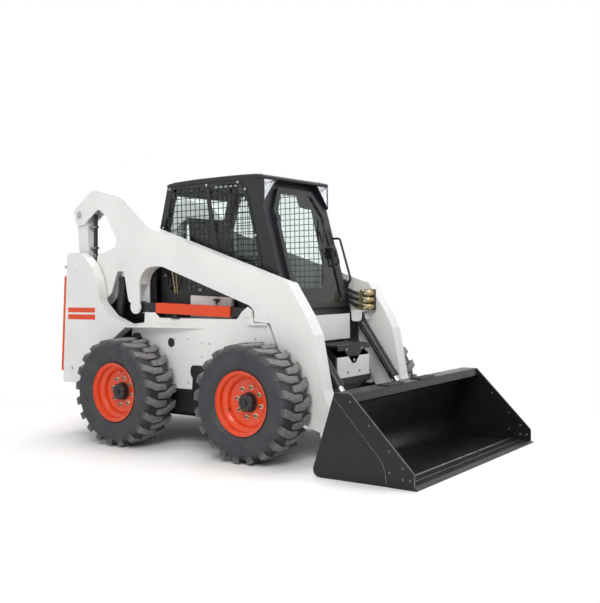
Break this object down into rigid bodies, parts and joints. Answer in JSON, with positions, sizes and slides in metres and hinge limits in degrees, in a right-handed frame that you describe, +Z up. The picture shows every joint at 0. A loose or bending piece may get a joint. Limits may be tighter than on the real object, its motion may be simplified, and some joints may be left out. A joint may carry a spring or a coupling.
{
  "type": "skid steer loader",
  "caption": "Compact wheeled loader with vertical-lift arms, enclosed screened cab, open bucket on a quick-attach carrier and lugged tyres.",
  "frame": {"origin": "on the ground under the middle of the machine, halfway between the tailgate and the cutting edge", "axes": "+X forward to the bucket, +Y to the operator's left, +Z up"},
  "size_m": [3.512, 1.88, 2.0649],
  "materials": {
    "black_paint": "semi-gloss black enamel",
    "black_plastic": "moulded, fine grain",
    "bucket_paint": "semi-gloss black enamel",
    "cab_paint": "fine textured black powder coat",
    "cast_iron": "painted casting",
    "chromed_rod": "hard chrome",
    "lamp_glass": "clear ribbed lens",
    "orange_gloss": "gloss red-orange enamel",
    "orange_paint": "satin red-orange enamel",
    "seat_vinyl": "grained vinyl",
    "tinted_glass": "green-tinted safety glass",
    "tyre_rubber": "matt, slightly dusty rubber",
    "white_paint": "satin white enamel",
    "zinc_brass": "yellow zinc plate"
  },
  "bodies": {
    "chassis": {"main_frame": "black_paint", "side_panels": "white_paint", "rear_towers": "white_paint", "axle_tubes": "black_paint", "front_panels": "white_paint", "front_step": "black_paint", "engine_block": "cast_iron", "service_cover": "white_paint", "cab_frame": "cab_paint", "cab_roof": "cab_paint", "side_screens": "cab_paint", "cab_windows": "tinted_glass", "work_lights": "lamp_glass", "grab_handle": "black_paint", "seat": "seat_vinyl", "seat_base": "black_paint", "joystick_consoles": "black_plastic"},
    "control_links": {"control_links": "black_paint", "arm_support": "orange_paint"},
    "lift_arms": {"lift_arm_left": "white_paint", "lift_arm_right": "white_paint", "arm_cross_tube": "white_paint", "hydraulic_couplers": "zinc_brass"},
    "rear_links": {"rear_links": "white_paint"},
    "lift_barrels": {"lift_barrels": "black_paint"},
    "lift_rods": {"lift_rods": "chromed_rod"},
    "tilt_barrels": {"tilt_barrels": "black_paint"},
    "tilt_rods": {"tilt_rods": "chromed_rod"},
    "bucket": {"bucket_shell": "bucket_paint", "bucket_sides": "bucket_paint", "cutting_edge": "bucket_paint", "quick_attach": "white_paint"},
    "cab_door": {"door_frame": "cab_paint", "door_glass": "tinted_glass", "door_wiper": "black_plastic"},
    "tailgate": {"tailgate": "orange_paint"},
    "engine_cover": {"engine_cover": "black_paint"},
    "rear_right_wheel": {"tyre_rear_right": "tyre_rubber", "rim_rear_right": "orange_gloss"},
    "rear_left_wheel": {"tyre_rear_left": "tyre_rubber", "rim_rear_left": "orange_gloss"},
    "front_right_wheel": {"tyre_front_right": "tyre_rubber", "rim_front_right": "orange_gloss"},
    "front_left_wheel": {"tyre_front_left": "tyre_rubber", "rim_front_left": "orange_gloss"}
  },
  "joints": [
    {"name": "control_link_swing", "type": "hinge", "parent": "chassis", "child": "control_links", "pos_m": [0.203, 0, 1.031], "axis": [0, -1, 0], "range_deg": [-54.61, 0]},
    {"name": "boom_lift", "type": "hinge", "parent": "control_links", "child": "lift_arms", "pos_m": [-0.946, 0, 1.07], "axis": [0, -1, 0], "range_deg": [0, 114.6]},
    {"name": "rear_link_swing", "type": "hinge", "parent": "chassis", "child": "rear_links", "pos_m": [-1.564, 0, 1.396], "axis": [0, -1, 0], "range_deg": [-22.14, 0]},
    {"name": "lift_barrel_swing", "type": "hinge", "parent": "chassis", "child": "lift_barrels", "pos_m": [-1.281, 0, 0.48], "axis": [0, -1, 0], "range_deg": [-5.8, 0]},
    {"name": "lift_rod_extend", "type": "slide", "parent": "lift_barrels", "child": "lift_rods", "axis": [0.1793, 0, 0.9838], "range_m": [0, 0.64464]},
    {"name": "bucket_tilt", "type": "hinge", "parent": "lift_arms", "child": "bucket", "pos_m": [0.894, 0, 0.21], "axis": [0, -1, 0], "range_deg": [-102, 30]},
    {"name": "tilt_barrel_swing", "type": "hinge", "parent": "lift_arms", "child": "tilt_barrels", "pos_m": [0.544, 0, 0.968], "axis": [0, -1, 0], "range_deg": [-2.05, 0.61]},
    {"name": "tilt_rod_extend", "type": "slide", "parent": "tilt_barrels", "child": "tilt_rods", "axis": [0.569, 0, -0.8223], "range_m": [-0.0841, 0.2857]},
    {"name": "cab_door_swing", "type": "hinge", "parent": "chassis", "child": "cab_door", "pos_m": [0.34922, -0.339, 1.47448], "axis": [0.2656, 0, -0.9641], "range_deg": [0, 90]},
    {"name": "tailgate_swing", "type": "hinge", "parent": "chassis", "child": "tailgate", "pos_m": [-1.73147, 0.706, 0.64], "axis": [-0.0771, 0, -0.997], "range_deg": [0, 95]},
    {"name": "engine_cover_lift", "type": "hinge", "parent": "chassis", "child": "engine_cover", "pos_m": [-0.861, 0, 1.372], "axis": [0, 1, 0], "range_deg": [0, 50]},
    {"name": "rear_right_wheel_spin", "type": "hinge", "parent": "chassis", "child": "rear_right_wheel", "pos_m": [-0.901, 0, 0.418], "axis": [0, 1, 0], "continuous": true},
    {"name": "rear_left_wheel_spin", "type": "hinge", "parent": "chassis", "child": "rear_left_wheel", "pos_m": [-0.901, 0, 0.418], "axis": [0, 1, 0], "continuous": true},
    {"name": "front_right_wheel_spin", "type": "hinge", "parent": "chassis", "child": "front_right_wheel", "pos_m": [0.369, 0, 0.418], "axis": [0, 1, 0], "continuous": true},
    {"name": "front_left_wheel_spin", "type": "hinge", "parent": "chassis", "child": "front_left_wheel", "pos_m": [0.369, 0, 0.418], "axis": [0, 1, 0], "continuous": true}
  ],
  "couplings": [
    {"joint": "control_link_swing", "follows": "boom_lift", "ratio": -0.47646},
    {"joint": "rear_link_swing", "follows": "boom_lift", "ratio": -0.19312},
    {"joint": "lift_barrel_swing", "follows": "boom_lift", "ratio": -0.050497},
    {"joint": "lift_rod_extend", "follows": "boom_lift", "m_per_rad": 0.32223},
    {"joint": "tilt_barrel_swing", "follows": "bucket_tilt", "ratio": 0.02},
    {"joint": "tilt_rod_extend", "follows": "bucket_tilt", "m_per_rad": -0.16043},
    {"joint": "rear_right_wheel_spin", "follows": "front_right_wheel_spin", "ratio": 1},
    {"joint": "rear_left_wheel_spin", "follows": "front_left_wheel_spin", "ratio": 1}
  ]
}
